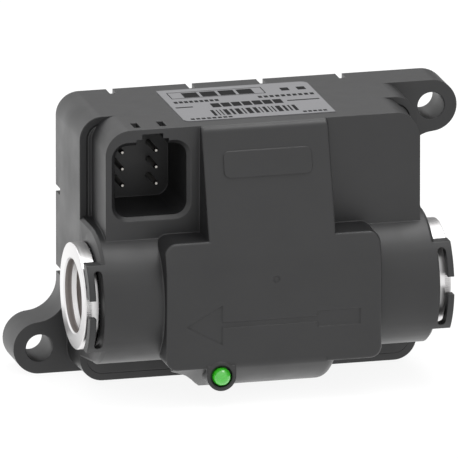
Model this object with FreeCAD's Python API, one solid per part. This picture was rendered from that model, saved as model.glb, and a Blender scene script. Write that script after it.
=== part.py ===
"""Electromagnetic flow meter with a plug socket, two clip-in steel ports and two fixing lugs.

Lengths are in mm. The flow axis is X, the origin is on it half way between the port faces,
the front looks along -Y and Z is up. One STEP file is written for each separate piece.
"""
import os
import math
import FreeCAD
import Part

# Ports and flow tube
PORT_FLANGE_T = 4.5         # steel flange outside the housing
PORT_GAP = 0.2              # side wall of the housing to the back of the flange
PORT_CHAMFER = 0.6
BORE_CHAMFER = 0.7
PORT_BORE_R = 12.0
PORT_NECK_WALL = 3.5        # steel round the bore, in the neck
FLANGE_STEP = 1.9           # flange beyond the neck
FOOT_STEP = 3.1             # inner foot beyond the neck
FOOT_GAP = 1.5              # foot to the inside of the collar
PORT_FOOT_T = 3.0
GROOVE_DEPTH = 1.1          # grooves that take the seals of the mating pipe spigot
GROOVE_W = 1.3
GROOVE_FIRST = 1.5          # port face to the first groove
GROOVE_PITCH = 2.8
EAR_OUT = 0.8               # arc-shaped ears at the front and rear of each port
EAR_T = 2.2
EAR_ANGLE = 26.0
TUBE_STEP = 2.0             # bore of the tube inside that of the port
TUBE_WALL = 4.0
TUBE_FLANGE_T = 3.5
SEAL_R = 1.2                # section radius of the port seal ring
SEAL_SINK = 0.9             # depth of the seal groove in the tube flange

# Front housing
COLLAR_DRAFT = 1.1          # how much the barrel spreads towards the parting plane
COLLAR_BACK = 1.0           # collar end behind the side wall, in front of that plane
COLLAR_CHAMFER = 0.9
COLLAR_CROWN = 0.8          # how far the end rises towards the port
WALL = 2.4
END_WALL = 3.0
PARTING_Y = 9.0             # plane where the two housings meet
SEAM_W = 0.35               # groove between the two housings, above the flow axis
SEAM_DEPTH = 0.4
BLOCK_INSET = 2.9           # side of the block behind the collar end
BLOCK_FRONT_Y = -10.0
TOP_Z = 56.6
TOP_CORNER_R = 8.3
ROOF_T = 4.6                # roof of the front housing behind its front wall
BAND_HALF_X = 21.1
DRUM_GAP = 0.76             # drum wall to the corner of the yoke
BAND_TOP_Y = -12.2          # sloping face where it meets the top
BAND_TOP_EDGE_R = 2.6
DRUM_EDGE_R = 3.6
CHIN_R = 4.0                # blend from the flat front into the drum
DRUM_TOP_Z = -8.0           # upper end of the drum body, inside the cross bar
FRONT_Y = -24.9
KNEE_Z = 13.0               # height where the flat front turns into the sloping face
KNEE_R = 30.0
FRONT_EDGE_R = 1.0
BAR_HALF_X = 35.75
BAR_TOP_Z = 21.3
BAR_BOTTOM_Z = -20.6
BAR_CORNER_R = 3.8
PLATE_T = 3.0               # flange of the front housing that plugs into the rear one
FRAME_W = 4.2               # width of that flange round its opening
POST_R = 3.2
POST_INSET = 6.5            # post centre to the edge of the flange
POST_LOW_OUT = 1.4          # lower posts beyond the port foot
POST_HIGH_OUT = 3.0

# Fork brackets at the front of each port
FORK_L = 5.35               # bracket beyond the collar end
FORK_GAP = 1.0              # round the ears
FORK_HALF_Z = 14.5
FORK_SLOT_BACK = 0.6        # collar end to the slot for the leg of the retaining fork
FORK_SLOT_W = 2.7
FORK_SLOT_HALF_Z = 12.9
FORK_GAP_LOW_Z = -2.0       # gap that splits the outer bar into two hooks
FORK_GAP_HIGH_Z = 4.0

# Plug socket
SOCKET_SIDE = 3.25          # side of the block to the opening
SOCKET_ROOF = 5.3           # top of the housing to the opening
SOCKET_W = 23.7
SOCKET_H = 23.8
SOCKET_R = 4.2
SOCKET_DEPTH = 25.0
SOCKET_FLOOR_T = 2.0
SOCKET_LEAD = 1.3           # chamfer round the mouth
KEY_SHIFT = 0.5             # key notch and top slots lie a little off the socket centre
KEY_W1 = 10.6
KEY_W2 = 6.9
KEY_H1 = 2.0
KEY_H2 = 3.7
KEY_DEPTH = 16.5
KEY_WALL = 1.6
TOP_SLOT_W = 2.2
TOP_SLOT_X = 4.25           # each side of the key notch
TOP_SLOT_Y0 = -7.0
TOP_SLOT_Y1 = -1.2
PIN_SHIFT_X = -0.3          # middle of the pins from the socket centre
PIN_SHIFT_Z = 0.4
PIN_PITCH_X = 11.2
PIN_PITCH_Z = 5.5
PIN_R = 0.8
PIN_TIP_R = 0.4
PIN_TIP_L = 0.9
PIN_REACH = 10.3            # how far the pins stand out of the socket floor

# Status light
LAMP_X = -17.7
LAMP_BELOW = 2.5            # lamp centre below the cross bar
LAMP_R = 2.95
LAMP_WELL_R = 3.5
LAMP_BOSS_R = 4.8
LAMP_BOSS_OUT = 0.5         # how far the boss stands in front of the band
LAMP_WELL_DEPTH = 1.6
LAMP_STEM_R = 2.2
LAMP_STEM_L = 4.5           # from the front plane to the end of the stem
LAMP_RIM_T = 1.2
LAMP_BODY_L = 5.0
BOSS_L = 12.0

# Marks on the front
ARROW_Z = -6.1
ARROW_TIP_X = -29.1
ARROW_HEAD_X = -17.3
ARROW_HEAD_H = 6.6
ARROW_SHAFT_H = 0.9
ARROW_TAIL_X0 = 14.3
ARROW_TAIL_X1 = 28.5
ARROW_TAIL_H = 2.6
MARK_DEPTH = 0.45
DIMPLE_X = 0.7
DIMPLE_Z = 8.0
DIMPLE_R = 1.1
BADGE_HALF_X = 14.6
BADGE_Z = 44.6
BADGE_H = 8.6
BADGE_T = 0.5

# Rear housing
REAR_HALF_X = 56.1
REAR_BACK_Y = 41.3
REAR_BOTTOM_Z = -33.0       # underside at the back rim
BOTTOM_RISE = 1.3           # how much higher the underside is at the parting plane
CORNER_R = 7.5
LEDGE_W = 3.0
LEDGE_T = 2.0
GASKET_T = 1.0
NOTCH_W = 2.2
NOTCH_L = 5.7
NOTCH_TOP_X = (-38.3, -11.8, 11.8, 38.3)
NOTCH_SIDE_Z = (24.8, -2.1)
LUG_L = 15.1
LUG_R = 8.6
LUG_HOLE_R = 4.5
LUG_BLEND_R = 10.5
LUG_OUT = 9.3               # lug hole centre beyond the side wall
COVER_T = 1.8
COVER_SINK = 2.2            # how deep the cover lies inside the rim
COVER_EDGE_W = 1.6          # step in the rear housing that the cover lies on
COVER_STEP_T = 2.0
TAB_T = 1.4
BITE = 0.2                  # depth that a rib runs into the wall it grows from
FAR = 99.0                  # reaches beyond the part

# Circuit board
BOARD_T = 1.6
BOARD_BACK = 2.0            # yoke to the board
BOARD_INSET = 2.9           # board inside the edge of the flange
BOARD_TOP_INSET = 3.7
BOARD_LOW_INSET = 5.3
SCREW_R = 1.25
SCREW_HEAD_R = 2.6
SCREW_HEAD_T = 1.9
SCREW_L = 9.0
PIN_TAIL = 1.2              # length of a pin behind the board

# Magnet coils and electrodes
POLE_R = 4.5
YOKE_T = 2.0
YOKE_BACK = 4.0             # tube to the back of the yoke
YOKE_REACH = 0.5            # yoke plates beyond the bobbin
YOKE_HALF_X = 10.0
BOBBIN_R = 11.5
BOBBIN_L = 9.0
BOBBIN_OUT = 1.0            # tube to the bobbin
BOBBIN_WALL = 1.0
COIL_INSET = 0.5            # winding inside the rim of its bobbin
YOKE_HOLE_GAP = 2.0         # round the electrode nut
ELECTRODE_R = 1.6
ELECTRODE_HEAD_R = 3.0
ELECTRODE_HEAD_T = 1.0
ELECTRODE_PROUD = 0.6       # height of the head inside the bore
ELECTRODE_SEAL_T = 1.2
ELECTRODE_END = 2.4         # thread end beyond the nut
NUT_R = 3.2
NUT_T = 2.0

# Label on the top
LABEL_X0 = -24.5
LABEL_X1 = 25.5
LABEL_FRONT = 5.8           # front of the block to the label
LABEL_BACK = 7.3            # rear rim to the label
LABEL_T = 0.25
LABEL_R = 2.5

PORT_NECK_R = PORT_BORE_R + PORT_NECK_WALL
PORT_R = PORT_NECK_R + FLANGE_STEP
EAR_R = PORT_R + EAR_OUT
FORK_INNER_R = EAR_R + FORK_GAP
PORT_FOOT_R = PORT_NECK_R + FOOT_STEP
COLLAR_R = PORT_FOOT_R + FOOT_GAP + WALL
TUBE_BORE_R = PORT_BORE_R - TUBE_STEP
TUBE_R = TUBE_BORE_R + TUBE_WALL

COLLAR_END_X = REAR_HALF_X - COLLAR_BACK
END_WALL_X = COLLAR_END_X - END_WALL
PORT_FOOT_X = END_WALL_X - PORT_FOOT_T
PORT_NECK_X = REAR_HALF_X + PORT_GAP
PORT_FACE_X = PORT_NECK_X + PORT_FLANGE_T
FORK_SLOT_X = COLLAR_END_X + FORK_SLOT_BACK
FORK_SLOT_END_X = FORK_SLOT_X + FORK_SLOT_W
FORK_END_X = COLLAR_END_X + FORK_L
BLOCK_HALF_X = COLLAR_END_X - BLOCK_INSET

PLATE_HALF_X = REAR_HALF_X - WALL
PLATE_BACK_Y = PARTING_Y + PLATE_T
PLATE_TOP_Z = TOP_Z - WALL
REAR_FLOOR_Z = REAR_BOTTOM_Z + BOTTOM_RISE
PLATE_BOTTOM_Z = REAR_FLOOR_Z + WALL
LEDGE_Y = PLATE_BACK_Y + GASKET_T
LUG_FRONT_Y = REAR_BACK_Y - LUG_L
LUG_X = REAR_HALF_X + LUG_OUT
LUG_LOW_Z = REAR_BOTTOM_Z + LUG_R
LUG_HIGH_Z = TOP_Z - LUG_R
COVER_BACK_Y = REAR_BACK_Y - COVER_SINK
COVER_FRONT_Y = COVER_BACK_Y - COVER_T

SOCKET_X = SOCKET_SIDE + SOCKET_W / 2 - BLOCK_HALF_X
SOCKET_Z = TOP_Z - SOCKET_ROOF - SOCKET_H / 2
SOCKET_FLOOR_Y = BLOCK_FRONT_Y + SOCKET_DEPTH
KEY_X = SOCKET_X + KEY_SHIFT
PIN_X = SOCKET_X + PIN_SHIFT_X
PIN_Z = SOCKET_Z + PIN_SHIFT_Z

LAMP_Z = BAR_BOTTOM_Z - LAMP_BELOW
LAMP_FACE_Y = FRONT_Y - LAMP_BOSS_OUT
LAMP_SEAT_Y = LAMP_FACE_Y + LAMP_WELL_DEPTH
LAMP_STEM_Y = FRONT_Y + LAMP_STEM_L

BOBBIN_BOTTOM_Z = TUBE_R + BOBBIN_OUT
YOKE_Z = BOBBIN_BOTTOM_Z + BOBBIN_L
YOKE_FRONT_Y = -BOBBIN_R - YOKE_REACH
YOKE_BACK_Y = TUBE_R + YOKE_BACK
BAND_R = math.hypot(YOKE_Z + YOKE_T, YOKE_FRONT_Y) + DRUM_GAP + WALL
ELECTRODE_HEAD_Y = TUBE_BORE_R - ELECTRODE_PROUD
ELECTRODE_SEAL_Y = ELECTRODE_HEAD_Y + ELECTRODE_HEAD_T
ELECTRODE_REACH = TUBE_R + NUT_T + ELECTRODE_END

BOARD_Y = YOKE_BACK_Y + YOKE_T + BOARD_BACK
BOARD_HALF_X = PLATE_HALF_X - BOARD_INSET
BOARD_LOW_Z = PLATE_BOTTOM_Z + BOARD_LOW_INSET
BOARD_HIGH_Z = PLATE_TOP_Z - BOARD_TOP_INSET
POST_X = PLATE_HALF_X - POST_INSET
POST_LOW_Z = -PORT_FOOT_R - POST_LOW_OUT
POST_HIGH_Z = PORT_FOOT_R + POST_HIGH_OUT

LABEL_Y0 = BLOCK_FRONT_Y + LABEL_FRONT
LABEL_Y1 = REAR_BACK_Y - LABEL_BACK


def vec(x, y, z):
    return FreeCAD.Vector(x, y, z)


def block(x0, x1, y0, y1, z0, z1):
    """A box between two corners."""
    return Part.makeBox(x1 - x0, y1 - y0, z1 - z0, vec(x0, y0, z0))


def rod_x(radius, x0, x1, y=0.0, z=0.0):
    return Part.makeCylinder(radius, x1 - x0, vec(x0, y, z), vec(1, 0, 0))


def rod_y(radius, y0, y1, x=0.0, z=0.0):
    return Part.makeCylinder(radius, y1 - y0, vec(x, y0, z), vec(0, 1, 0))


def rod_z(radius, z0, z1, x=0.0, y=0.0):
    return Part.makeCylinder(radius, z1 - z0, vec(x, y, z0), vec(0, 0, 1))


def fuse_all(shapes):
    whole = shapes[0]
    for shape in shapes[1:]:
        whole = whole.fuse(shape)
    return whole.removeSplitter()


def cut_all(shape, tools):
    for tool in tools:
        shape = shape.cut(tool)
    return shape


def mirror_x(shape):
    return shape.mirror(vec(0, 0, 0), vec(1, 0, 0))


def mirror_y(shape):
    return shape.mirror(vec(0, 0, 0), vec(0, 1, 0))


def mirror_z(shape):
    return shape.mirror(vec(0, 0, 0), vec(0, 0, 1))


def prism_y(points, y0, y1):
    """A straight-sided prism along Y from (x, z) corners."""
    wire = Part.makePolygon([vec(x, y0, z) for x, z in points + points[:1]])
    return Part.Face(wire).extrude(vec(0, y1 - y0, 0))


def rounded_y(x0, x1, z0, z1, radii, y0, y1):
    """A prism along Y whose corners (low left, low right, high right, high left) are rounded."""
    corners = [(x0, z0, 1, 1), (x1, z0, -1, 1), (x1, z1, -1, -1), (x0, z1, 1, -1)]
    shape = block(x0, x1, y0, y1, z0, z1)
    for (x, z, sx, sz), radius in zip(corners, radii):
        if radius <= 0:
            continue
        cx = x + sx * radius
        cz = z + sz * radius
        square = block(min(x, cx), max(x, cx), y0, y1, min(z, cz), max(z, cz))
        shape = shape.cut(square.cut(rod_y(radius, y0, y1, cx, cz)))
    return shape


def arc_points(radius, cx, cz, start, end, count):
    """Points on an arc, angles in degrees."""
    out = []
    for i in range(count + 1):
        angle = math.radians(start + (end - start) * i / count)
        out.append((cx + radius * math.cos(angle), cz + radius * math.sin(angle)))
    return out


def collar_outline(half_x, half_z, y):
    """Corners of a rectangle round the flow axis at one depth, each corner cut off."""
    cut = COLLAR_CHAMFER
    quarter = [(half_x, half_z - cut), (half_x - cut, half_z)]
    points = [vec(x, y, z) for x, z in quarter]
    points += [vec(-x, y, z) for x, z in reversed(quarter)]
    points += [vec(-x, y, -z) for x, z in quarter]
    points += [vec(x, y, -z) for x, z in reversed(quarter)]
    return points


def solid_between(first, last):
    """Solid with flat sides between two outlines whose sides run parallel."""
    count = len(first)
    faces = [Part.Face(Part.makePolygon(ring + ring[:1])) for ring in (first, last)]
    for i in range(count):
        j = (i + 1) % count
        faces.append(Part.Face(Part.makePolygon([first[i], first[j], last[j], last[i], first[i]])))
    return Part.makeSolid(Part.makeShell(faces))


def collar_body():
    """Barrel: round in front, spread a little back to the parting plane, its ends chamfered."""
    end = COLLAR_END_X
    radius = COLLAR_R
    straight = end - COLLAR_CHAMFER
    cap = Part.makeCone(radius, radius - COLLAR_CHAMFER, COLLAR_CHAMFER, vec(straight, 0, 0), vec(1, 0, 0))
    front = fuse_all([rod_x(radius, -straight, straight), cap, mirror_x(cap)])
    front = front.common(block(-end, end, -radius, 0, -radius, radius))
    narrow = collar_outline(end, radius, 0.0)
    wide = collar_outline(REAR_HALF_X, radius + COLLAR_DRAFT, PARTING_Y)
    crown = Part.makeCone(radius - COLLAR_CHAMFER, PORT_R, COLLAR_CROWN, vec(end, 0, 0), vec(1, 0, 0))
    crown = crown.common(block(end, FAR, -FAR, PARTING_Y, -FAR, FAR))
    return fuse_all([front, solid_between(narrow, wide), crown, mirror_x(crown)])


def front_profile(half, z0, z1, inset=0.0):
    """Prism along X: flat front below the knee, sloping face above it."""
    run = (BAND_TOP_Y - FRONT_Y) / (TOP_Z - KNEE_Z)
    front_y = FRONT_Y + inset
    points = [
        vec(-half, PARTING_Y, z0),
        vec(-half, front_y, z0),
        vec(-half, front_y, KNEE_Z),
        vec(-half, front_y + run * (z1 - KNEE_Z), z1),
        vec(-half, PARTING_Y, z1),
        vec(-half, PARTING_Y, z0),
    ]
    body = Part.Face(Part.makePolygon(points)).extrude(vec(2 * half, 0, 0))
    return round_edges(body, KNEE_R, is_knee_edge)


def is_knee_edge(edge):
    """The edge along X where the front turns, away from the back and the ends."""
    box = edge.BoundBox
    return box.XLength > 1.0 and abs(box.ZMin - KNEE_Z) < 0.01


def band_body():
    """Centre band above the flow axis, with a rounded top edge."""
    body = front_profile(BAND_HALF_X, 0.0, TOP_Z)
    body = round_edges(body, BAND_TOP_EDGE_R, is_band_top_edge)
    return round_edges(body, FRONT_EDGE_R, is_band_side_edge)


def is_band_top_edge(edge):
    box = edge.BoundBox
    return box.XLength > 1.0 and abs(box.ZMin - TOP_Z) < 0.01 and box.YMax < PARTING_Y - 0.01


def is_band_side_edge(edge):
    """Front edges on both sides of the band."""
    box = edge.BoundBox
    back = box.YMin > PARTING_Y - 0.01
    end = box.ZMax < 0.01 or box.ZMin > TOP_Z - 0.01
    return box.XLength < 0.01 and not back and not end


def drum_body():
    """Drum below the cross bar, blended into the flat front."""
    half = BAND_HALF_X
    drum = rod_x(BAND_R, -half, half)
    drum = drum.common(block(-half, half, FRONT_Y, PARTING_Y, -BAND_R, DRUM_TOP_Z))
    drum = round_edges(drum, CHIN_R, is_chin_edge)
    return round_edges(drum, DRUM_EDGE_R, is_drum_side_edge)


def is_chin_edge(edge):
    box = edge.BoundBox
    return box.XLength > 1.0 and abs(box.YMax - FRONT_Y) < 0.01 and box.ZMax < DRUM_TOP_Z - 0.01


def is_drum_side_edge(edge):
    """Side edges of the drum, without those at the parting plane and the upper end."""
    box = edge.BoundBox
    back = box.YMin > PARTING_Y - 0.01
    end = box.ZMin > DRUM_TOP_Z - 0.01
    return box.XLength < 0.01 and not back and not end


def round_edges(shape, radius, wanted):
    """Round the edges that a test picks out."""
    edges = [edge for edge in shape.Edges if wanted(edge)]
    return shape.makeFillet(radius, edges)


def bar_body():
    """Cross bar with rounded corners; the drum takes over its lower middle."""
    body = front_profile(BAR_HALF_X, BAR_BOTTOM_Z, BAR_TOP_Z)
    radii = (BAR_CORNER_R, BAR_CORNER_R, BAR_CORNER_R, BAR_CORNER_R)
    body = body.common(rounded_y(-BAR_HALF_X, BAR_HALF_X, BAR_BOTTOM_Z, BAR_TOP_Z, radii,
                                 FRONT_Y - 1, PARTING_Y))
    body = round_edges(body, FRONT_EDGE_R, is_bar_edge)
    middle = BAND_HALF_X - DRUM_EDGE_R
    return body.cut(block(-middle, middle, FRONT_Y - 1, PARTING_Y, BAR_BOTTOM_Z - 1, DRUM_TOP_Z - 1))


def is_bar_edge(edge):
    """The outline of the front, without the knee and the edges that run back."""
    box = edge.BoundBox
    knee = box.XLength > 2 * BAR_HALF_X - 0.1
    runs_back = box.YMax > PARTING_Y - 0.01
    return not knee and not runs_back


def lamp_boss():
    round_part = rod_y(LAMP_BOSS_R, LAMP_FACE_Y, FRONT_Y + BOSS_L, LAMP_X, LAMP_Z)
    straight = block(LAMP_X - LAMP_BOSS_R, LAMP_X + LAMP_BOSS_R, LAMP_FACE_Y, FRONT_Y + BOSS_L,
                     LAMP_Z, BAR_BOTTOM_Z + FRONT_EDGE_R)
    return round_part.fuse(straight)


def fork_bracket():
    """Bracket in front of the right-hand port, with the fork slot and the two hooks."""
    start = COLLAR_END_X - COLLAR_CHAMFER - BITE
    ring = rod_x(COLLAR_R, start, FORK_END_X).cut(rod_x(FORK_INNER_R, start, FORK_END_X))
    keep = block(start, FORK_END_X, -COLLAR_R, 0, -FORK_HALF_Z, FORK_HALF_Z)
    body = ring.common(keep)
    half = FORK_SLOT_W / 2
    centre = FORK_SLOT_X + half
    slot = block(FORK_SLOT_X, FORK_SLOT_END_X, -COLLAR_R - 1, 0,
                 -FORK_SLOT_HALF_Z + half, FORK_SLOT_HALF_Z - half)
    for sign in (-1, 1):
        slot = slot.fuse(rod_y(half, -COLLAR_R - 1, 0, centre, sign * (FORK_SLOT_HALF_Z - half)))
    gap = block(centre, FORK_END_X + 1, -COLLAR_R - 1, 0, FORK_GAP_LOW_Z, FORK_GAP_HIGH_Z)
    return body.cut(slot).cut(gap)


def socket_shape(grow, y0, y1):
    """The plug socket opening, grown by a wall thickness."""
    half_w = SOCKET_W / 2 + grow
    half_h = SOCKET_H / 2 + grow
    radius = SOCKET_R + grow
    return rounded_y(SOCKET_X - half_w, SOCKET_X + half_w, SOCKET_Z - half_h, SOCKET_Z + half_h,
                     (radius, radius, radius, radius), y0, y1)


def socket_shell():
    """Outside of the socket walls, which reach back through the mouth of the rear housing."""
    shell = socket_shape(WALL, BLOCK_FRONT_Y + WALL, SOCKET_FLOOR_Y + SOCKET_FLOOR_T)
    limit = PLATE_HALF_X - BITE
    return shell.common(block(-limit, limit, BLOCK_FRONT_Y, BOARD_Y, 0, PLATE_TOP_Z))


def socket_key():
    """Stepped key notch above the socket."""
    top = SOCKET_Z + SOCKET_H / 2
    y0 = BLOCK_FRONT_Y - 1
    y1 = BLOCK_FRONT_Y + KEY_DEPTH
    wide = block(KEY_X - KEY_W1 / 2, KEY_X + KEY_W1 / 2, y0, y1, top - SOCKET_R, top + KEY_H1)
    narrow = block(KEY_X - KEY_W2 / 2, KEY_X + KEY_W2 / 2, y0, y1, top - SOCKET_R, top + KEY_H2)
    return wide.fuse(narrow)


def key_wall():
    """Thicker roof of the housing above the key notch."""
    half = KEY_W1 / 2 + KEY_WALL
    return block(KEY_X - half, KEY_X + half, BLOCK_FRONT_Y + WALL, BLOCK_FRONT_Y + KEY_DEPTH + KEY_WALL,
                 SOCKET_Z + SOCKET_H / 2, TOP_Z)


def socket_lead():
    """Chamfer round the mouth of the socket, as a loft."""
    y0 = BLOCK_FRONT_Y
    outer = socket_shape(SOCKET_LEAD, y0, y0 + 1).Faces
    inner = socket_shape(0.0, y0 + SOCKET_LEAD, y0 + SOCKET_LEAD + 1).Faces
    first = [face.OuterWire for face in outer if abs(face.CenterOfMass.y - y0) < 1e-4][0]
    second = [face.OuterWire for face in inner
              if abs(face.CenterOfMass.y - y0 - SOCKET_LEAD) < 1e-4][0]
    return Part.makeLoft([first, second], True, True)


def top_slots():
    out = []
    for sign in (-1, 1):
        x = KEY_X + sign * TOP_SLOT_X
        out.append(block(x - TOP_SLOT_W / 2, x + TOP_SLOT_W / 2, TOP_SLOT_Y0, TOP_SLOT_Y1,
                         SOCKET_Z + SOCKET_H / 2 - 1, TOP_Z + 1))
    return out


def pin_places():
    return [(PIN_X + sx * PIN_PITCH_X / 2, PIN_Z + row * PIN_PITCH_Z)
            for sx in (-1, 1) for row in (-1, 0, 1)]


def front_plate():
    """Flange that plugs into the mouth of the rear housing."""
    radius = CORNER_R - WALL
    return rounded_y(-PLATE_HALF_X, PLATE_HALF_X, PLATE_BOTTOM_Z, PLATE_TOP_Z,
                     (radius, radius, radius, radius), PARTING_Y, PLATE_BACK_Y)


def front_cavities():
    """Hollow spaces inside the front housing."""
    out = [
        rod_x(COLLAR_R - WALL, -END_WALL_X, END_WALL_X),
        front_profile(BAR_HALF_X - WALL, BAR_BOTTOM_Z + WALL, BAR_TOP_Z - WALL, WALL),
        front_profile(BAND_HALF_X - WALL, 0, TOP_Z - ROOF_T, WALL),
        rod_x(BAND_R - WALL, -BAND_HALF_X + WALL, BAND_HALF_X - WALL).common(
            block(-BAND_HALF_X, BAND_HALF_X, FRONT_Y + WALL, PLATE_BACK_Y, -BAND_R, 0)),
        rounded_y(-BLOCK_HALF_X + WALL, BLOCK_HALF_X - WALL, 0, TOP_Z - ROOF_T,
                  (0, 0, TOP_CORNER_R - WALL, TOP_CORNER_R - WALL), BLOCK_FRONT_Y + WALL, PARTING_Y),
        block(-END_WALL_X, END_WALL_X, 0, PARTING_Y, -COLLAR_R + WALL, COLLAR_R - WALL),
        block(-PLATE_HALF_X + FRAME_W, PLATE_HALF_X - FRAME_W, PARTING_Y - 0.01, PLATE_BACK_Y,
              -COLLAR_R + WALL, PLATE_TOP_Z - FRAME_W),
    ]
    return out


def board_posts():
    out = []
    for sign in (-1, 1):
        for z in (POST_LOW_Z, POST_HIGH_Z):
            out.append(rod_y(POST_R, PARTING_Y, BOARD_Y, sign * POST_X, z))
    return out


def screw_holes():
    out = []
    for sign in (-1, 1):
        for z in (POST_LOW_Z, POST_HIGH_Z):
            out.append(rod_y(SCREW_R, BOARD_Y + BOARD_T - SCREW_L, BOARD_Y, sign * POST_X, z))
    return out


def arrow():
    """Engraved arrow that shows the flow direction."""
    z = ARROW_Z
    points = [
        (ARROW_TIP_X, z),
        (ARROW_HEAD_X, z - ARROW_HEAD_H),
        (ARROW_HEAD_X, z - ARROW_SHAFT_H),
        (ARROW_TAIL_X0, z - ARROW_SHAFT_H),
        (ARROW_TAIL_X0, z - ARROW_TAIL_H),
        (ARROW_TAIL_X1, z - ARROW_TAIL_H),
        (ARROW_TAIL_X1, z + ARROW_TAIL_H),
        (ARROW_TAIL_X0, z + ARROW_TAIL_H),
        (ARROW_TAIL_X0, z + ARROW_SHAFT_H),
        (ARROW_HEAD_X, z + ARROW_SHAFT_H),
        (ARROW_HEAD_X, z + ARROW_HEAD_H),
    ]
    return prism_y(points, FRONT_Y - 1, FRONT_Y + MARK_DEPTH)


def badge():
    """Plain raised pad on the sloping face."""
    rise = TOP_Z - KNEE_Z
    run = BAND_TOP_Y - FRONT_Y
    angle = math.degrees(math.atan2(run, rise))
    y = FRONT_Y + run * (BADGE_Z - KNEE_Z) / rise
    pad = rounded_y(-BADGE_HALF_X, BADGE_HALF_X, -BADGE_H / 2, BADGE_H / 2,
                    (2.0, 2.0, 2.0, 2.0), -BADGE_T, 1.0)
    pad.rotate(vec(0, 0, 0), vec(1, 0, 0), -angle)
    pad.translate(vec(0, y, BADGE_Z))
    return pad


def port_clearance():
    """Space for the steel port necks and their inner feet."""
    neck = rod_x(PORT_NECK_R, PORT_FOOT_X, PORT_NECK_X + 1)
    foot = rod_x(PORT_FOOT_R, PORT_FOOT_X, END_WALL_X)
    return [neck, mirror_x(neck), foot, mirror_x(foot)]


def front_housing():
    outer = [
        collar_body(),
        rounded_y(-BLOCK_HALF_X, BLOCK_HALF_X, 0, TOP_Z, (0, 0, TOP_CORNER_R, TOP_CORNER_R),
                  BLOCK_FRONT_Y, PARTING_Y),
        band_body(),
        drum_body(),
        bar_body(),
        front_plate(),
        lamp_boss(),
        fork_bracket(),
        mirror_x(fork_bracket()),
    ]
    body = fuse_all(outer)
    body = cut_all(body, front_cavities())
    inner = [socket_shell(), key_wall(), badge()]
    body = fuse_all([body] + inner + board_posts())
    tools = [socket_shape(0.0, BLOCK_FRONT_Y - 1, SOCKET_FLOOR_Y), socket_key(), socket_lead()]
    tools += top_slots()
    tools += [rod_y(PIN_R, SOCKET_FLOOR_Y - 1, BOARD_Y, x, z) for x, z in pin_places()]
    tools += [
        arrow(),
        rod_y(DIMPLE_R, FRONT_Y - 1, FRONT_Y + MARK_DEPTH, DIMPLE_X, DIMPLE_Z),
        rod_y(LAMP_WELL_R, LAMP_FACE_Y - 1, LAMP_SEAT_Y, LAMP_X, LAMP_Z),
        rod_y(LAMP_STEM_R, LAMP_FACE_Y - 1, 0, LAMP_X, LAMP_Z),
    ]
    tools += port_clearance() + screw_holes()
    seam = ring_y(WALL, WALL + SEAM_W, PARTING_Y, PARTING_Y + SEAM_DEPTH)
    tools.append(seam.common(block(-FAR, FAR, PARTING_Y, PARTING_Y + SEAM_DEPTH, 0, FAR)))
    return cut_all(body, tools)


def lug():
    """Lower left lug with its hole; the blend to the side wall is concave."""
    x = -LUG_X
    z = LUG_LOW_Z
    body = rod_y(LUG_R, LUG_FRONT_Y, REAR_BACK_Y, x, z)
    inner_x = -REAR_HALF_X + CORNER_R
    body = body.fuse(block(x, inner_x, LUG_FRONT_Y, REAR_BACK_Y, z - LUG_R, z + LUG_R * 0.2))
    blend_x = -REAR_HALF_X - LUG_BLEND_R
    span = math.hypot(blend_x - x, 0.0)
    rise = math.sqrt((LUG_R + LUG_BLEND_R) ** 2 - span ** 2)
    blend_z = z + rise
    touch_x = x + (blend_x - x) * LUG_R / (LUG_R + LUG_BLEND_R)
    touch_z = z + rise * LUG_R / (LUG_R + LUG_BLEND_R)
    points = [(x, z), (touch_x, touch_z), (blend_x, blend_z), (-REAR_HALF_X, blend_z),
              (inner_x, blend_z), (inner_x, z)]
    web = prism_y(points, LUG_FRONT_Y, REAR_BACK_Y)
    web = web.cut(rod_y(LUG_BLEND_R, LUG_FRONT_Y - 1, REAR_BACK_Y + 1, blend_x, blend_z))
    return body.fuse(web)


def high_lug():
    """Upper right lug: the lower left one turned half round and lifted."""
    shape = lug()
    shape.rotate(vec(0, 0, 0), vec(0, 1, 0), 180)
    shape.translate(vec(0, 0, LUG_HIGH_Z + LUG_LOW_Z))
    return shape


def rear_outline(inset, y0, y1):
    """Straight prism that follows the outline at the parting plane, further in by the inset."""
    radius = CORNER_R - inset
    return rounded_y(-REAR_HALF_X + inset, REAR_HALF_X - inset, REAR_FLOOR_Z + inset, TOP_Z - inset,
                     (radius, radius, radius, radius), y0, y1)


def outline_wire(y, bottom_z):
    """Outer outline of the rear housing at one depth, as a rounded rectangle."""
    radius = CORNER_R
    half = REAR_HALF_X
    step = radius * math.sqrt(0.5)
    corners = [(1, 1), (-1, 1), (-1, -1), (1, -1)]
    edges = []
    ends = []
    for sx, sz in corners:
        cx = sx * (half - radius)
        cz = TOP_Z - radius if sz > 0 else bottom_z + radius
        beside = vec(cx + sx * radius, y, cz)
        across = vec(cx, y, cz + sz * radius)
        middle = vec(cx + sx * step, y, cz + sz * step)
        first, last = (beside, across) if sx * sz > 0 else (across, beside)
        edges.append(Part.Arc(first, middle, last).toShape())
        ends.append((first, last))
    sides = [Part.makeLine(ends[i][1], ends[(i + 1) % 4][0]) for i in range(4)]
    loop = [edge for pair in zip(edges, sides) for edge in pair]
    return Part.Wire(loop)


def rear_body():
    """Outer body of the rear housing, whose underside falls towards the back."""
    front = outline_wire(PARTING_Y, REAR_FLOOR_Z)
    back = outline_wire(REAR_BACK_Y, REAR_BOTTOM_Z)
    return Part.makeLoft([front, back], True, True)


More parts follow.
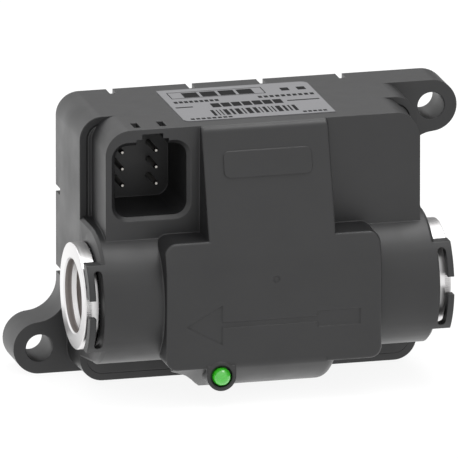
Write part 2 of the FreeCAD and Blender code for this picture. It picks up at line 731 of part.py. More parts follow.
def rim_notches():
    out = []
    depth = WALL + 0.01
    y0 = REAR_BACK_Y - NOTCH_L
    for x in NOTCH_TOP_X:
        out.append(block(x - NOTCH_W / 2, x + NOTCH_W / 2, y0, REAR_BACK_Y + 1, TOP_Z - depth, TOP_Z + 1))
        out.append(block(x - NOTCH_W / 2, x + NOTCH_W / 2, y0, REAR_BACK_Y + 1,
                         REAR_BOTTOM_Z - 1, REAR_FLOOR_Z + depth))
    for z in NOTCH_SIDE_Z:
        out.append(block(-REAR_HALF_X - 1, -REAR_HALF_X + depth, y0, REAR_BACK_Y + 1,
                         z - NOTCH_W / 2, z + NOTCH_W / 2))
        out.append(block(REAR_HALF_X - depth, REAR_HALF_X + 1, y0, REAR_BACK_Y + 1,
                         TOP_Z + REAR_FLOOR_Z - z - NOTCH_W / 2,
                         TOP_Z + REAR_FLOOR_Z - z + NOTCH_W / 2))
    return out


def ring_y(outer_inset, inner_inset, y0, y1):
    """A flat frame that follows the rear housing outline."""
    return rear_outline(outer_inset, y0, y1).cut(rear_outline(inner_inset, y0 - 1, y1 + 1))


def rear_housing():
    shell = fuse_all([rear_body(), lug(), high_lug()])
    shell = shell.cut(rear_outline(WALL, PARTING_Y - 1, REAR_BACK_Y + 1))
    ledge = ring_y(WALL - BITE, WALL + LEDGE_W, LEDGE_Y, LEDGE_Y + LEDGE_T)
    step_y = COVER_FRONT_Y - COVER_STEP_T
    step = ring_y(WALL - BITE, WALL + COVER_EDGE_W, step_y, COVER_FRONT_Y)
    shell = fuse_all([shell, ledge, step])
    tools = rim_notches()
    for sign in (-1, 1):
        x = sign * LUG_X
        z = LUG_LOW_Z if sign < 0 else LUG_HIGH_Z
        tools.append(rod_y(LUG_HOLE_R, LUG_FRONT_Y - 1, REAR_BACK_Y + 1, x, z))
    tools += port_clearance()
    tools.append(socket_shell())
    return cut_all(shell, tools)


def rear_cover():
    """Cover that lies inside the rim, with tabs that fill the root of the notches."""
    plate = rear_outline(WALL, COVER_FRONT_Y, COVER_BACK_Y)
    ribs = []
    for x in NOTCH_TOP_X:
        ribs.append(block(x - NOTCH_W / 2, x + NOTCH_W / 2, COVER_FRONT_Y, COVER_BACK_Y,
                          PLATE_TOP_Z - 1, PLATE_TOP_Z + TAB_T))
        ribs.append(block(x - NOTCH_W / 2, x + NOTCH_W / 2, COVER_FRONT_Y, COVER_BACK_Y,
                          PLATE_BOTTOM_Z - TAB_T, PLATE_BOTTOM_Z + 1))
    return fuse_all([plate] + ribs)


def housing_gasket():
    ring = ring_y(WALL, WALL + LEDGE_W, PLATE_BACK_Y, LEDGE_Y)
    return cut_all(ring, port_clearance() + [socket_shell()])


def port():
    """Right-hand steel port: flange with ears, neck and inner foot."""
    x1 = PORT_FACE_X
    ears = rod_x(EAR_R, x1 - EAR_T, x1)
    reach = EAR_R * math.sin(math.radians(EAR_ANGLE))
    ears = ears.common(block(x1 - EAR_T, x1, -EAR_R, EAR_R, -reach, reach))
    flange = Part.makeCone(PORT_R, PORT_R - PORT_CHAMFER, PORT_CHAMFER,
                           vec(x1 - PORT_CHAMFER, 0, 0), vec(1, 0, 0)).fuse(
        rod_x(PORT_R, PORT_NECK_X, x1 - PORT_CHAMFER))
    ears = ears.cut(block(x1 - PORT_CHAMFER / 2, x1 + 1, -EAR_R, EAR_R, -EAR_R, EAR_R))
    neck = rod_x(PORT_NECK_R, PORT_FOOT_X, PORT_NECK_X)
    foot = rod_x(PORT_FOOT_R, PORT_FOOT_X, END_WALL_X)
    body = fuse_all([flange, ears, neck, foot])
    tools = [rod_x(PORT_BORE_R, PORT_FOOT_X - 1, x1 + 1)]
    tools.append(Part.makeCone(PORT_BORE_R, PORT_BORE_R + BORE_CHAMFER, BORE_CHAMFER,
                               vec(x1 - BORE_CHAMFER, 0, 0), vec(1, 0, 0)))
    for i in range(2):
        start = x1 - GROOVE_FIRST - i * GROOVE_PITCH
        tools.append(rod_x(PORT_BORE_R + GROOVE_DEPTH, start - GROOVE_W, start))
    return cut_all(body, tools)


def seal_centre_r():
    return (PORT_BORE_R + PORT_FOOT_R) / 2


def port_seal():
    """Ring of rubber between the port foot and the tube flange, pressed flat on both sides."""
    radius = seal_centre_r()
    outer = rod_x(radius + SEAL_R, PORT_FOOT_X - SEAL_SINK, PORT_FOOT_X)
    return outer.cut(rod_x(radius - SEAL_R, PORT_FOOT_X - SEAL_SINK - 1, PORT_FOOT_X + 1))


def flow_tube():
    """Plastic measuring tube with a flange at each end."""
    end = PORT_FOOT_X
    body = rod_x(TUBE_R, -end, end)
    for sign in (-1, 1):
        x0 = min(sign * end, sign * (end - TUBE_FLANGE_T))
        body = body.fuse(rod_x(PORT_FOOT_R, x0, x0 + TUBE_FLANGE_T))
    body = body.cut(rod_x(TUBE_BORE_R, -end - 1, end + 1))
    tools = [port_seal(), mirror_x(port_seal())]
    tools += [electrode(), mirror_y(electrode()), electrode_seal(), mirror_y(electrode_seal())]
    return cut_all(body, tools)


def electrode():
    """Steel electrode on +Y, its head in the bore."""
    head = rod_y(ELECTRODE_HEAD_R, ELECTRODE_HEAD_Y, ELECTRODE_SEAL_Y)
    return head.fuse(rod_y(ELECTRODE_R, ELECTRODE_HEAD_Y, ELECTRODE_REACH))


def electrode_seal():
    y1 = ELECTRODE_SEAL_Y + ELECTRODE_SEAL_T
    ring = rod_y(ELECTRODE_HEAD_R, ELECTRODE_SEAL_Y, y1)
    return ring.cut(rod_y(ELECTRODE_R, ELECTRODE_SEAL_Y - 1, y1 + 1))


def electrode_nut():
    """Hexagon nut that draws the electrode against its seal."""
    points = arc_points(NUT_R, 0, 0, 0, 360, 6)[:6]
    nut = prism_y(points, TUBE_R - NUT_T / 2, TUBE_R + NUT_T)
    nut = nut.cut(rod_y(ELECTRODE_R, 0, TUBE_R + NUT_T + 1))
    return nut.cut(rod_x(TUBE_R, -2 * NUT_R, 2 * NUT_R))


def pole():
    """Upper pole piece from the tube to the yoke."""
    return rod_z(POLE_R, 0, YOKE_Z).cut(rod_x(TUBE_R, -POLE_R - 1, POLE_R + 1))


def bobbin():
    """Upper bobbin: a spool round the pole piece."""
    low = rod_z(BOBBIN_R, BOBBIN_BOTTOM_Z, BOBBIN_BOTTOM_Z + BOBBIN_WALL)
    high = rod_z(BOBBIN_R, YOKE_Z - BOBBIN_WALL, YOKE_Z)
    hub = rod_z(POLE_R + BOBBIN_WALL, BOBBIN_BOTTOM_Z, YOKE_Z)
    body = fuse_all([low, high, hub])
    return body.cut(rod_z(POLE_R, 0, YOKE_Z + 1))


def coil():
    """Copper winding that fills the spool."""
    ring = rod_z(BOBBIN_R - COIL_INSET, BOBBIN_BOTTOM_Z + BOBBIN_WALL, YOKE_Z - BOBBIN_WALL)
    return ring.cut(rod_z(POLE_R + BOBBIN_WALL, 0, YOKE_Z))


def yoke():
    """Return path of the magnet field, open to the front."""
    outer = block(-YOKE_HALF_X, YOKE_HALF_X, YOKE_FRONT_Y, YOKE_BACK_Y + YOKE_T,
                  -YOKE_Z - YOKE_T, YOKE_Z + YOKE_T)
    inner = block(-YOKE_HALF_X - 1, YOKE_HALF_X + 1, YOKE_FRONT_Y - 1, YOKE_BACK_Y, -YOKE_Z, YOKE_Z)
    hole = rod_y(NUT_R + YOKE_HOLE_GAP, YOKE_BACK_Y - 1, YOKE_BACK_Y + YOKE_T + 1)
    return outer.cut(inner).cut(hole)


def circuit_board():
    board = rounded_y(-BOARD_HALF_X, BOARD_HALF_X, BOARD_LOW_Z, BOARD_HIGH_Z, (2.0, 2.0, 2.0, 2.0),
                      BOARD_Y, BOARD_Y + BOARD_T)
    tools = [rod_y(PIN_R, BOARD_Y - 1, BOARD_Y + BOARD_T + 1, x, z) for x, z in pin_places()]
    for sign in (-1, 1):
        for z in (POST_LOW_Z, POST_HIGH_Z):
            tools.append(rod_y(SCREW_R, BOARD_Y - 1, BOARD_Y + BOARD_T + 1, sign * POST_X, z))
    return cut_all(board, tools)


def board_screws():
    out = []
    head_y = BOARD_Y + BOARD_T
    for sign in (-1, 1):
        for z in (POST_LOW_Z, POST_HIGH_Z):
            head = rod_y(SCREW_HEAD_R, head_y, head_y + SCREW_HEAD_T, sign * POST_X, z)
            shank = rod_y(SCREW_R, head_y - SCREW_L, head_y, sign * POST_X, z)
            out.append(head.fuse(shank))
    return Part.makeCompound(out)


def plug_pins():
    """Six pins with pointed tips, soldered into the board."""
    out = []
    tip_y = SOCKET_FLOOR_Y - PIN_REACH
    for x, z in pin_places():
        tip = Part.makeCone(PIN_TIP_R, PIN_R, PIN_TIP_L, vec(x, tip_y, z), vec(0, 1, 0))
        out.append(tip.fuse(rod_y(PIN_R, tip_y + PIN_TIP_L, BOARD_Y + BOARD_T + PIN_TAIL, x, z)))
    return Part.makeCompound(out)


def lamp_lens():
    """Domed lens in the well, with a stem that takes the light."""
    rim_y = LAMP_SEAT_Y - LAMP_RIM_T
    rim = rod_y(LAMP_R, rim_y, LAMP_SEAT_Y, LAMP_X, LAMP_Z)
    dome = Part.makeSphere(LAMP_R, vec(LAMP_X, rim_y, LAMP_Z))
    dome = dome.common(block(-FAR, FAR, -FAR, rim_y, -FAR, FAR))
    stem = rod_y(LAMP_STEM_R, LAMP_SEAT_Y, LAMP_STEM_Y, LAMP_X, LAMP_Z)
    return fuse_all([dome, rim, stem])


def lamp_body():
    """Light source behind the lens stem."""
    return rod_y(LAMP_STEM_R, LAMP_STEM_Y, LAMP_STEM_Y + LAMP_BODY_L, LAMP_X, LAMP_Z)


def label_plate():
    """Label on the top, where both housings are level; two of its corners are rounded."""
    plate = block(LABEL_X0, LABEL_X1, LABEL_Y0, LABEL_Y1, TOP_Z, TOP_Z + LABEL_T)
    corners = [(LABEL_X0, LABEL_Y0, 1, 1), (LABEL_X1, LABEL_Y1, -1, -1)]
    for x, y, sx, sy in corners:
        cx = x + sx * LABEL_R
        cy = y + sy * LABEL_R
        square = block(min(x, cx), max(x, cx), min(y, cy), max(y, cy), TOP_Z, TOP_Z + LABEL_T)
        plate = plate.cut(square.cut(rod_z(LABEL_R, TOP_Z, TOP_Z + LABEL_T, cx, cy)))
    return plate


def all_parts():
    """Every separate piece under its node name."""
    return {
        "front_housing": front_housing(),
        "rear_housing": rear_housing(),
        "rear_cover": rear_cover(),
        "housing_gasket": housing_gasket(),
        "port_left": mirror_x(port()),
        "port_right": port(),
        "port_seal_left": mirror_x(port_seal()),
        "port_seal_right": port_seal(),
        "flow_tube": flow_tube(),
        "electrode_rear": electrode(),
        "electrode_front": mirror_y(electrode()),
        "electrode_seal_rear": electrode_seal(),
        "electrode_seal_front": mirror_y(electrode_seal()),
        "electrode_nut_rear": electrode_nut(),
        "electrode_nut_front": mirror_y(electrode_nut()),
        "pole_upper": pole(),
        "pole_lower": mirror_z(pole()),
        "bobbin_upper": bobbin(),
        "bobbin_lower": mirror_z(bobbin()),
        "coil_upper": coil(),
        "coil_lower": mirror_z(coil()),
        "yoke": yoke(),
        "circuit_board": circuit_board(),
        "board_screws": board_screws(),
        "plug_pins": plug_pins(),
        "lamp_lens": lamp_lens(),
        "lamp_body": lamp_body(),
        "label_plate": label_plate(),
    }


os.makedirs("parts", exist_ok=True)
for name, shape in all_parts().items():
    shape.exportStep("parts/" + name + ".step")
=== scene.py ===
import logging
import math
from dataclasses import dataclass, field
from enum import Enum
from typing import Iterable, Sequence

import bmesh
import bpy
from mathutils import Matrix, Vector


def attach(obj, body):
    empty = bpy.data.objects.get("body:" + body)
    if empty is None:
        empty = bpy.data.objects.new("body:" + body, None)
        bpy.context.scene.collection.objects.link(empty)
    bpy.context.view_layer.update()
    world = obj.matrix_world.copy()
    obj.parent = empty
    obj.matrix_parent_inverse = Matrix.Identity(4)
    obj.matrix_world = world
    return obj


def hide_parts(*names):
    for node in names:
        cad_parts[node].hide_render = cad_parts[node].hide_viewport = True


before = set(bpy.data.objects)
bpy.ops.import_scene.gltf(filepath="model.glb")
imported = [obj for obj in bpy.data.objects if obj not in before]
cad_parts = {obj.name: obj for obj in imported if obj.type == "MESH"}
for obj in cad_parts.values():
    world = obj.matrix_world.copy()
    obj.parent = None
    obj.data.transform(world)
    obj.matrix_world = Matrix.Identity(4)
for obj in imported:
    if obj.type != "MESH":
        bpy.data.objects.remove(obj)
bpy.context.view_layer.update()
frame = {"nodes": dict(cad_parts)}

MM = 0.001
SIZE_DIGITS = 6

# The sRGB curve: end of its straight part, and the values of both parts
SRGB_STRAIGHT_TO = 0.04045
SRGB_SLOPE = 12.92
SRGB_OFFSET = 0.055
SRGB_POWER = 2.4

# A finish from this share of metal on keeps the shader's own IOR
METAL_FROM = 0.5
# Noise values between these carry nearly all of the pattern
NOISE_LOW, NOISE_HIGH = 0.3, 0.7
WHITE = "#ffffff"

# Faces that turn by less than this many radians lie in one plane
FLAT_ANGLE = 1e-3
# Turns square metres into square mm, twice, so that weights stay well above zero
AREA_WEIGHT_SCALE = 1e12
# Largest angles in degrees that the shading of a piece runs over
SMOOTH_DEFAULT = 35.0
SMOOTH_HOUSING = 22.0
SMOOTH_ROUND = 25.0
# Angles round the flow axis from straight up, towards the front
FRONT_DEG = 90.0
REAR_DEG = 270.0
# Distances in metres within which points are one
MERGE_PACKED = 2e-6
MERGE_SPUN = 1e-7
MERGE_LENS = 1e-6

log = logging.getLogger("flow_meter")


class Side(Enum):
    """End of the flow axis, as the sign of X."""

    LEFT = -1
    RIGHT = 1


def linear(code: str) -> tuple[float, float, float, float]:
    """Turns an sRGB hex colour into linear RGBA.

    Args:
        code: Colour as "#rrggbb".

    Returns:
        Linear red, green, blue and an alpha of 1.
    """
    out = []
    for i in (1, 3, 5):
        value = int(code[i:i + 2], 16) / 255.0
        if value <= SRGB_STRAIGHT_TO:
            out.append(value / SRGB_SLOPE)
        else:
            out.append(((value + SRGB_OFFSET) / (1.0 + SRGB_OFFSET)) ** SRGB_POWER)
    return out[0], out[1], out[2], 1.0


def add_node(tree: bpy.types.NodeTree, kind: str, settings: dict | None = None,
             links: Sequence[tuple[bpy.types.NodeSocket, str]] = ()) -> bpy.types.Node:
    """Adds one node with its settings and its incoming links.

    Args:
        tree: Node tree that gets the node.
        kind: Node type, such as "ShaderNodeTexNoise".
        settings: Attribute or input names with their values.
        links: Pairs of an output socket and the name of the input it feeds.

    Returns:
        The new node.
    """
    node = tree.nodes.new(kind)
    for name, value in (settings or {}).items():
        if name in node.inputs:
            node.inputs[name].default_value = value
        else:
            setattr(node, name, value)
    for source, name in links:
        tree.links.new(source, node.inputs[name])
    return node


def fresh_tree(owner: bpy.types.Material | bpy.types.World) -> bpy.types.NodeTree:
    """Switches nodes on and empties the tree.

    Args:
        owner: Material or world.

    Returns:
        The empty node tree.
    """
    owner.use_nodes = True
    owner.node_tree.nodes.clear()
    return owner.node_tree


def scene_object(name: str, data: bpy.types.ID) -> bpy.types.Object:
    """Makes an object and links it to the scene.

    Args:
        name: Object name.
        data: Mesh, light or camera.

    Returns:
        The new object, at the origin.
    """
    obj = bpy.data.objects.new(name, data)
    bpy.context.scene.collection.objects.link(obj)
    return obj


def per_metre(size_mm: float) -> float:
    """Noise scale on metre coordinates whose cells are about size_mm wide."""
    return 1.0 / (size_mm * MM)


@dataclass(frozen=True)
class Finish:
    """Plain finish: one colour with gloss, the base of the others."""

    name: str
    color: str
    roughness: float
    metallic: float = 0.0
    ior: float = 1.5

    def shader(self, tree: bpy.types.NodeTree) -> bpy.types.Node:
        """Adds the main shader with its own plain values.

        Args:
            tree: Node tree of the material.

        Returns:
            The shader node.
        """
        settings = {
            "Base Color": linear(self.color),
            "Roughness": self.roughness,
            "Metallic": self.metallic,
        }
        if self.metallic < METAL_FROM:
            settings["IOR"] = self.ior
        return add_node(tree, "ShaderNodeBsdfPrincipled", settings)

    def dress(self, tree: bpy.types.NodeTree, shader: bpy.types.Node) -> None:
        """Adds the pattern of the surface; a plain finish has none."""

    def build(self) -> bpy.types.Material:
        """Makes the material, once for each name.

        Returns:
            The material.
        """
        known = bpy.data.materials.get(self.name)
        if known is not None:
            return known
        material = bpy.data.materials.new(self.name)
        tree = fresh_tree(material)
        shader = self.shader(tree)
        self.dress(tree, shader)
        add_node(tree, "ShaderNodeOutputMaterial", links=[(shader.outputs[0], "Surface")])
        return material


@dataclass(frozen=True)
class MouldedPlastic(Finish):
    """Injection-moulded plastic with a fine spark-eroded grain."""

    grain_mm: float = 0.55
    grain_depth_mm: float = 0.012
    grain_strength: float = 0.5
    cloud_mm: float = 14.0
    mottle: float = 0.05
    edge_mm: float = 0.7
    edge_samples: int = 8

    def dress(self, tree: bpy.types.NodeTree, shader: bpy.types.Node) -> None:
        """Adds soft edges, the grain as a bump and a faint unevenness of the gloss.

        Args:
            tree: Node tree of the material.
            shader: The main shader.
        """
        place = add_node(tree, "ShaderNodeTexCoord")
        grain = add_node(tree, "ShaderNodeTexNoise",
                         {"Scale": per_metre(self.grain_mm), "Detail": 3.0, "Roughness": 0.55},
                         [(place.outputs["Object"], "Vector")])
        bump = add_bump(tree, shader, grain.outputs["Fac"], self.grain_depth_mm,
                        self.grain_strength)
        edge = add_node(tree, "ShaderNodeBevel",
                        {"samples": self.edge_samples, "Radius": self.edge_mm * MM})
        tree.links.new(edge.outputs["Normal"], bump.inputs["Normal"])
        cloud = add_node(tree, "ShaderNodeTexNoise",
                         {"Scale": per_metre(self.cloud_mm), "Detail": 2.0},
                         [(place.outputs["Object"], "Vector")])
        vary_gloss(tree, shader, cloud.outputs["Fac"],
                   self.roughness - self.mottle, self.roughness + self.mottle)


@dataclass(frozen=True)
class TurnedSteel(Finish):
    """Stainless steel turned on a lathe; fine rings run round the flow axis."""

    feed_mm: float = 0.7
    ring_depth_mm: float = 0.0001
    ring_strength: float = 0.35
    around_scale: float = 0.02
    smoother: float = 0.04
    rougher: float = 0.06

    def dress(self, tree: bpy.types.NodeTree, shader: bpy.types.Node) -> None:
        """Adds the turning rings as bands along X and round the axis.

        Args:
            tree: Node tree of the material.
            shader: The main shader.
        """
        place = add_node(tree, "ShaderNodeTexCoord")
        stretched = add_node(tree, "ShaderNodeMapping",
                             {"Scale": (1.0, self.around_scale, self.around_scale)},
                             [(place.outputs["Object"], "Vector")])
        rings = add_node(tree, "ShaderNodeTexNoise",
                         {"Scale": per_metre(self.feed_mm), "Detail": 2.0},
                         [(stretched.outputs["Vector"], "Vector")])
        add_bump(tree, shader, rings.outputs["Fac"], self.ring_depth_mm, self.ring_strength)
        vary_gloss(tree, shader, rings.outputs["Fac"],
                   self.roughness - self.smoother, self.roughness + self.rougher)


@dataclass(frozen=True)
class SatinFoil(Finish):
    """Silver polyester label foil with a fine satin speckle."""

    speckle_mm: float = 0.3
    light: str = "#68686a"

    def dress(self, tree: bpy.types.NodeTree, shader: bpy.types.Node) -> None:
        """Adds a faint speckle to the foil's colour.

        Args:
            tree: Node tree of the material.
            shader: The main shader.
        """
        place = add_node(tree, "ShaderNodeTexCoord")
        speckle = add_node(tree, "ShaderNodeTexNoise",
                           {"Scale": per_metre(self.speckle_mm), "Detail": 2.0},
                           [(place.outputs["Object"], "Vector")])
        tone = add_node(tree, "ShaderNodeMix", {"data_type": "RGBA"},
                        [(speckle.outputs["Fac"], "Factor")])
        colour_inputs = [s for s in tone.inputs if s.type == "RGBA"]
        colour_inputs[0].default_value = linear(self.color)
        colour_inputs[1].default_value = linear(self.light)
        colour_output = [s for s in tone.outputs if s.type == "RGBA"][0]
        tree.links.new(colour_output, shader.inputs["Base Color"])


@dataclass(frozen=True)
class LitLens(Finish):
    """Tinted clear lens with the lamp on behind it; its glow fades towards the top as painted shade
    from the lip above it.
    """

    glow: str = "#2fd012"
    low_strength: float = 0.26
    shaded_top_strength: float = 0.02
    low_z: float = -25.6
    high_z: float = -20.4
    coat: float = 0.6
    coat_roughness: float = 0.05

    def shader(self, tree: bpy.types.NodeTree) -> bpy.types.Node:
        """Adds the main shader with its glow.

        Args:
            tree: Node tree of the material.

        Returns:
            The shader node.
        """
        node = super().shader(tree)
        node.inputs["Emission Color"].default_value = linear(self.glow)
        place = add_node(tree, "ShaderNodeTexCoord")
        axes = add_node(tree, "ShaderNodeSeparateXYZ", links=[(place.outputs["Object"], "Vector")])
        # painted shade: the glow is strongest at the bottom of the lens and fades towards its top,
        # as shade from the lip above
        level = add_node(tree, "ShaderNodeMapRange",
                         {"From Min": self.low_z * MM, "From Max": self.high_z * MM,
                          "To Min": self.low_strength, "To Max": self.shaded_top_strength},
                         [(axes.outputs["Z"], "Value")])
        tree.links.new(level.outputs["Result"], node.inputs["Emission Strength"])
        node.inputs["Coat Weight"].default_value = self.coat
        node.inputs["Coat Roughness"].default_value = self.coat_roughness
        return node


def add_bump(tree: bpy.types.NodeTree, shader: bpy.types.Node, height: bpy.types.NodeSocket,
             depth_mm: float, strength: float) -> bpy.types.Node:
    """Feeds a height pattern to the shader's normal.

    Args:
        tree: Node tree of the material.
        shader: The main shader.
        height: Socket with values from 0 to 1.
        depth_mm: Real depth from 0 to 1.
        strength: How much of the bump shows.

    Returns:
        The bump node.
    """
    bump = add_node(tree, "ShaderNodeBump", {"Strength": strength, "Distance": depth_mm * MM},
                    [(height, "Height")])
    tree.links.new(bump.outputs["Normal"], shader.inputs["Normal"])
    return bump


def vary_gloss(tree: bpy.types.NodeTree, shader: bpy.types.Node, pattern: bpy.types.NodeSocket,
               low: float, high: float) -> None:
    """Lets the roughness follow a noise pattern.

    Args:
        tree: Node tree of the material.
        shader: The main shader.
        pattern: Socket with the noise values.
        low: Roughness at the low end of the noise.
        high: Roughness at its high end.
    """
    gloss = add_node(tree, "ShaderNodeMapRange",
                     {"From Min": NOISE_LOW, "From Max": NOISE_HIGH, "To Min": low, "To Max": high},
                     [(pattern, "Value")])
    tree.links.new(gloss.outputs["Result"], shader.inputs["Roughness"])


# Glass-filled nylon, moulded: near black, soft sheen, a fine even grain
HOUSING_NYLON = MouldedPlastic("moulded black nylon", "#111112", 0.48, ior=1.44, edge_mm=0.5)
# The same nylon on the front face and the cross bar, whose edges are rounder
FRONT_NYLON = MouldedPlastic("moulded black nylon, round edge", "#111112", 0.48, ior=1.44,
                             edge_mm=1.1)
# The same nylon on the rear cover, a little duller
COVER_NYLON = MouldedPlastic("moulded black nylon, dull", "#111112", 0.5, ior=1.46)
# Nitrile rubber, moulded: black and soft
SEAL_RUBBER = Finish("moulded nitrile rubber", "#18181a", 0.7)
# Stainless steel, turned: bright with fine rings
PORT_STEEL = TurnedSteel("turned stainless steel", "#bdbcbc", 0.36, 1.0)
# The same steel in the bore, the ring grooves and on the ears' outer faces: rougher, and painted
# darker as shade there
SHADED_STEEL = TurnedSteel("turned stainless steel, painted shade", "#9a9492", 0.5, 1.0)
# Zinc-plated steel, drawn: grey and slightly dull
PLATED_STEEL = Finish("zinc plated steel", "#a9abad", 0.35, 1.0)
# Tin-plated copper alloy, stamped: soft silver
TINNED_PIN = Finish("tinned pin", "#8f8c88", 0.28, 1.0)
# Enamelled copper wire, wound
COPPER_WIRE = Finish("enamelled copper wire", "#a8552c", 0.35, 0.8)
# Acetal, moulded: creamy white and smooth
LINER_ACETAL = MouldedPlastic("moulded acetal", "#d8d4c6", 0.4)
# Glass-epoxy laminate under green lacquer
BOARD_LACQUER = Finish("green lacquered laminate", "#1d5a30", 0.3)
# Clear tinted acrylic, moulded, with the lamp on; its glow is painted weaker at the top as shade
LENS_ACRYLIC = LitLens("lit green acrylic", "#238313", 0.25, ior=1.49)
# Clear cast epoxy of the light source
LAMP_EPOXY = Finish("cast clear epoxy", "#e4ebe0", 0.2)
# Silver polyester foil, printed
LABEL_FOIL = SatinFoil("satin silver foil", "#545456", 0.4)
# Dark thermal-transfer print on the foil
LABEL_PRINT = Finish("thermal print", "#09090a", 0.85, ior=1.25)


def mesh_object(name: str, bm: bmesh.types.BMesh, finish: Finish,
                smooth_deg: float | None = SMOOTH_DEFAULT) -> bpy.types.Object:
    """Turns a bmesh into a finished object at the origin that rides the root body.

    Args:
        name: Object name.
        bm: The mesh, in metres in the row frame; it is freed.
        finish: Finish of the whole piece.
        smooth_deg: Faces that meet at less than this are shaded smooth; None leaves them flat.

    Returns:
        The object.
    """
    normals = true_normals(bm, smooth_deg) if smooth_deg is not None else None
    mesh = bpy.data.meshes.new(name)
    bm.to_mesh(mesh)
    bm.free()
    obj = scene_object(name, mesh)
    mesh.materials.append(finish.build())
    if normals is not None:
        mesh.polygons.foreach_set("use_smooth", [True] * len(mesh.polygons))
        mesh.set_sharp_from_angle(angle=math.radians(smooth_deg))
        mesh.normals_split_custom_set(normals)
    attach(obj, "root")
    return obj


def flat_areas(bm: bmesh.types.BMesh) -> tuple[list[int], list[float]]:
    """Groups the faces that lie in one plane and touch.

    Args:
        bm: The mesh, with its face index up to date.

    Returns:
        The group of each face, and the area of each group.
    """
    group = [-1] * len(bm.faces)
    areas: list[float] = []
    for first in bm.faces:
        if group[first.index] >= 0:
            continue
        group[first.index] = len(areas)
        area = 0.0
        waiting = [first]
        while waiting:
            face = waiting.pop()
            area += face.calc_area()
            for edge in face.edges:
                if len(edge.link_faces) != 2 or edge.calc_face_angle(0.0) > FLAT_ANGLE:
                    continue
                for other in edge.link_faces:
                    if group[other.index] < 0:
                        group[other.index] = group[first.index]
                        waiting.append(other)
        areas.append(area)
    return group, areas


def fan_of(loop: bmesh.types.BMLoop, limit: float) -> set[int]:
    """Finds the faces round a corner that its shading runs over.

    Args:
        loop: The corner.
        limit: Largest angle in radians that the shading runs over.

    Returns:
        Index of each of the faces.
    """
    seen = {loop.face.index}
    waiting = [loop.face]
    while waiting:
        face = waiting.pop()
        for edge in face.edges:
            if loop.vert not in edge.verts or len(edge.link_faces) != 2:
                continue
            if edge.calc_face_angle(math.pi) >= limit:
                continue
            for other in edge.link_faces:
                if other.index not in seen:
                    seen.add(other.index)
                    waiting.append(other)
    return seen


def true_normals(bm: bmesh.types.BMesh, smooth_deg: float) -> list[Vector]:
    """Works out the shading normal of every corner.

    A flat region keeps its own normal up to its border, and a curved one blends into it.

    Args:
        bm: The mesh.
        smooth_deg: Faces that meet at less than this blend.

    Returns:
        One normal for each corner, in the order of the mesh's corners.
    """
    bm.faces.index_update()
    bm.faces.ensure_lookup_table()
    group, areas = flat_areas(bm)
    limit = math.radians(smooth_deg)
    normals = []
    for face in bm.faces:
        for loop in face.loops:
            regions = {group[i]: bm.faces[i].normal for i in fan_of(loop, limit)}
            total = Vector()
            for region, normal in regions.items():
                total += normal * areas[region] ** 2 * AREA_WEIGHT_SCALE
            normals.append(total.normalized() if total.length > 0.0 else face.normal.copy())
    return normals


def clean_solid(node: str) -> bmesh.types.BMesh:
    """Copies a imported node's mesh, with its doubles merged.

    Args:
        node: Node name.

    Returns:
        The new bmesh.
    """
    bm = bmesh.new()
    bm.from_mesh(frame["nodes"][node].data)
    bmesh.ops.remove_doubles(bm, verts=bm.verts[:], dist=MERGE_PACKED)
    return bm


def spin_profile(points: Sequence[tuple[float, float]], steps: int = 96) -> bmesh.types.BMesh:
    """Spins a closed profile fully round the X axis.

    Args:
        points: Corners of the profile as (x, radius) in mm, in order.
        steps: Number of steps round the axis.

    Returns:
        The closed solid as a bmesh.
    """
    bm = bmesh.new()
    verts = [bm.verts.new((x * MM, 0.0, r * MM)) for x, r in points]
    edges = [bm.edges.new((verts[i], verts[(i + 1) % len(verts)])) for i in range(len(verts))]
    bmesh.ops.spin(bm, geom=verts + edges, cent=(0, 0, 0), axis=(1, 0, 0), dvec=(0, 0, 0),
                   angle=2 * math.pi, steps=steps, use_merge=True, use_duplicate=False)
    bmesh.ops.remove_doubles(bm, verts=bm.verts[:], dist=MERGE_SPUN)
    bmesh.ops.recalc_face_normals(bm, faces=bm.faces[:])
    return bm


def add_box(bm: bmesh.types.BMesh, low: Vector, high: Vector) -> list[bmesh.types.BMVert]:
    """Adds a box between two corners, in mm.

    Args:
        bm: The mesh that gets the box.
        low: Lowest corner.
        high: Highest corner.

    Returns:
        The new vertices.
    """
    size = (high - low) * MM
    place = Matrix.Translation((high + low) * (MM / 2)) @ Matrix.Diagonal((*size, 1.0))
    return bmesh.ops.create_cube(bm, size=1.0, matrix=place)["verts"]


@dataclass
class Housing:
    """The two moulded housings and the rear cover, as merged copies of their nodes."""

    front_from_y: float = -20.2
    nodes: tuple[str, ...] = ("front_housing", "rear_housing", "rear_cover")

    def finish_of(self, node: str) -> Finish:
        """Gives the finish of a node."""
        return COVER_NYLON if node == "rear_cover" else HOUSING_NYLON

    def build(self) -> list[bpy.types.Object]:
        """Builds the merged copies and puts them in place of the plain nodes.

        Returns:
            The new objects.
        """
        made = []
        for node in self.nodes:
            bm = clean_solid(node)
            obj = mesh_object(node + "_soft", bm, self.finish_of(node), SMOOTH_HOUSING)
            if node == "front_housing":
                self.round_front(obj)
            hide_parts(node)
            made.append(obj)
        return made

    def round_front(self, obj: bpy.types.Object) -> None:
        """Gives the front face and the cross bar the finish with rounder edges.

        Args:
            obj: The front housing.
        """
        obj.data.materials.append(FRONT_NYLON.build())
        for face in obj.data.polygons:
            if face.center.y < self.front_from_y * MM:
                face.material_index = 1


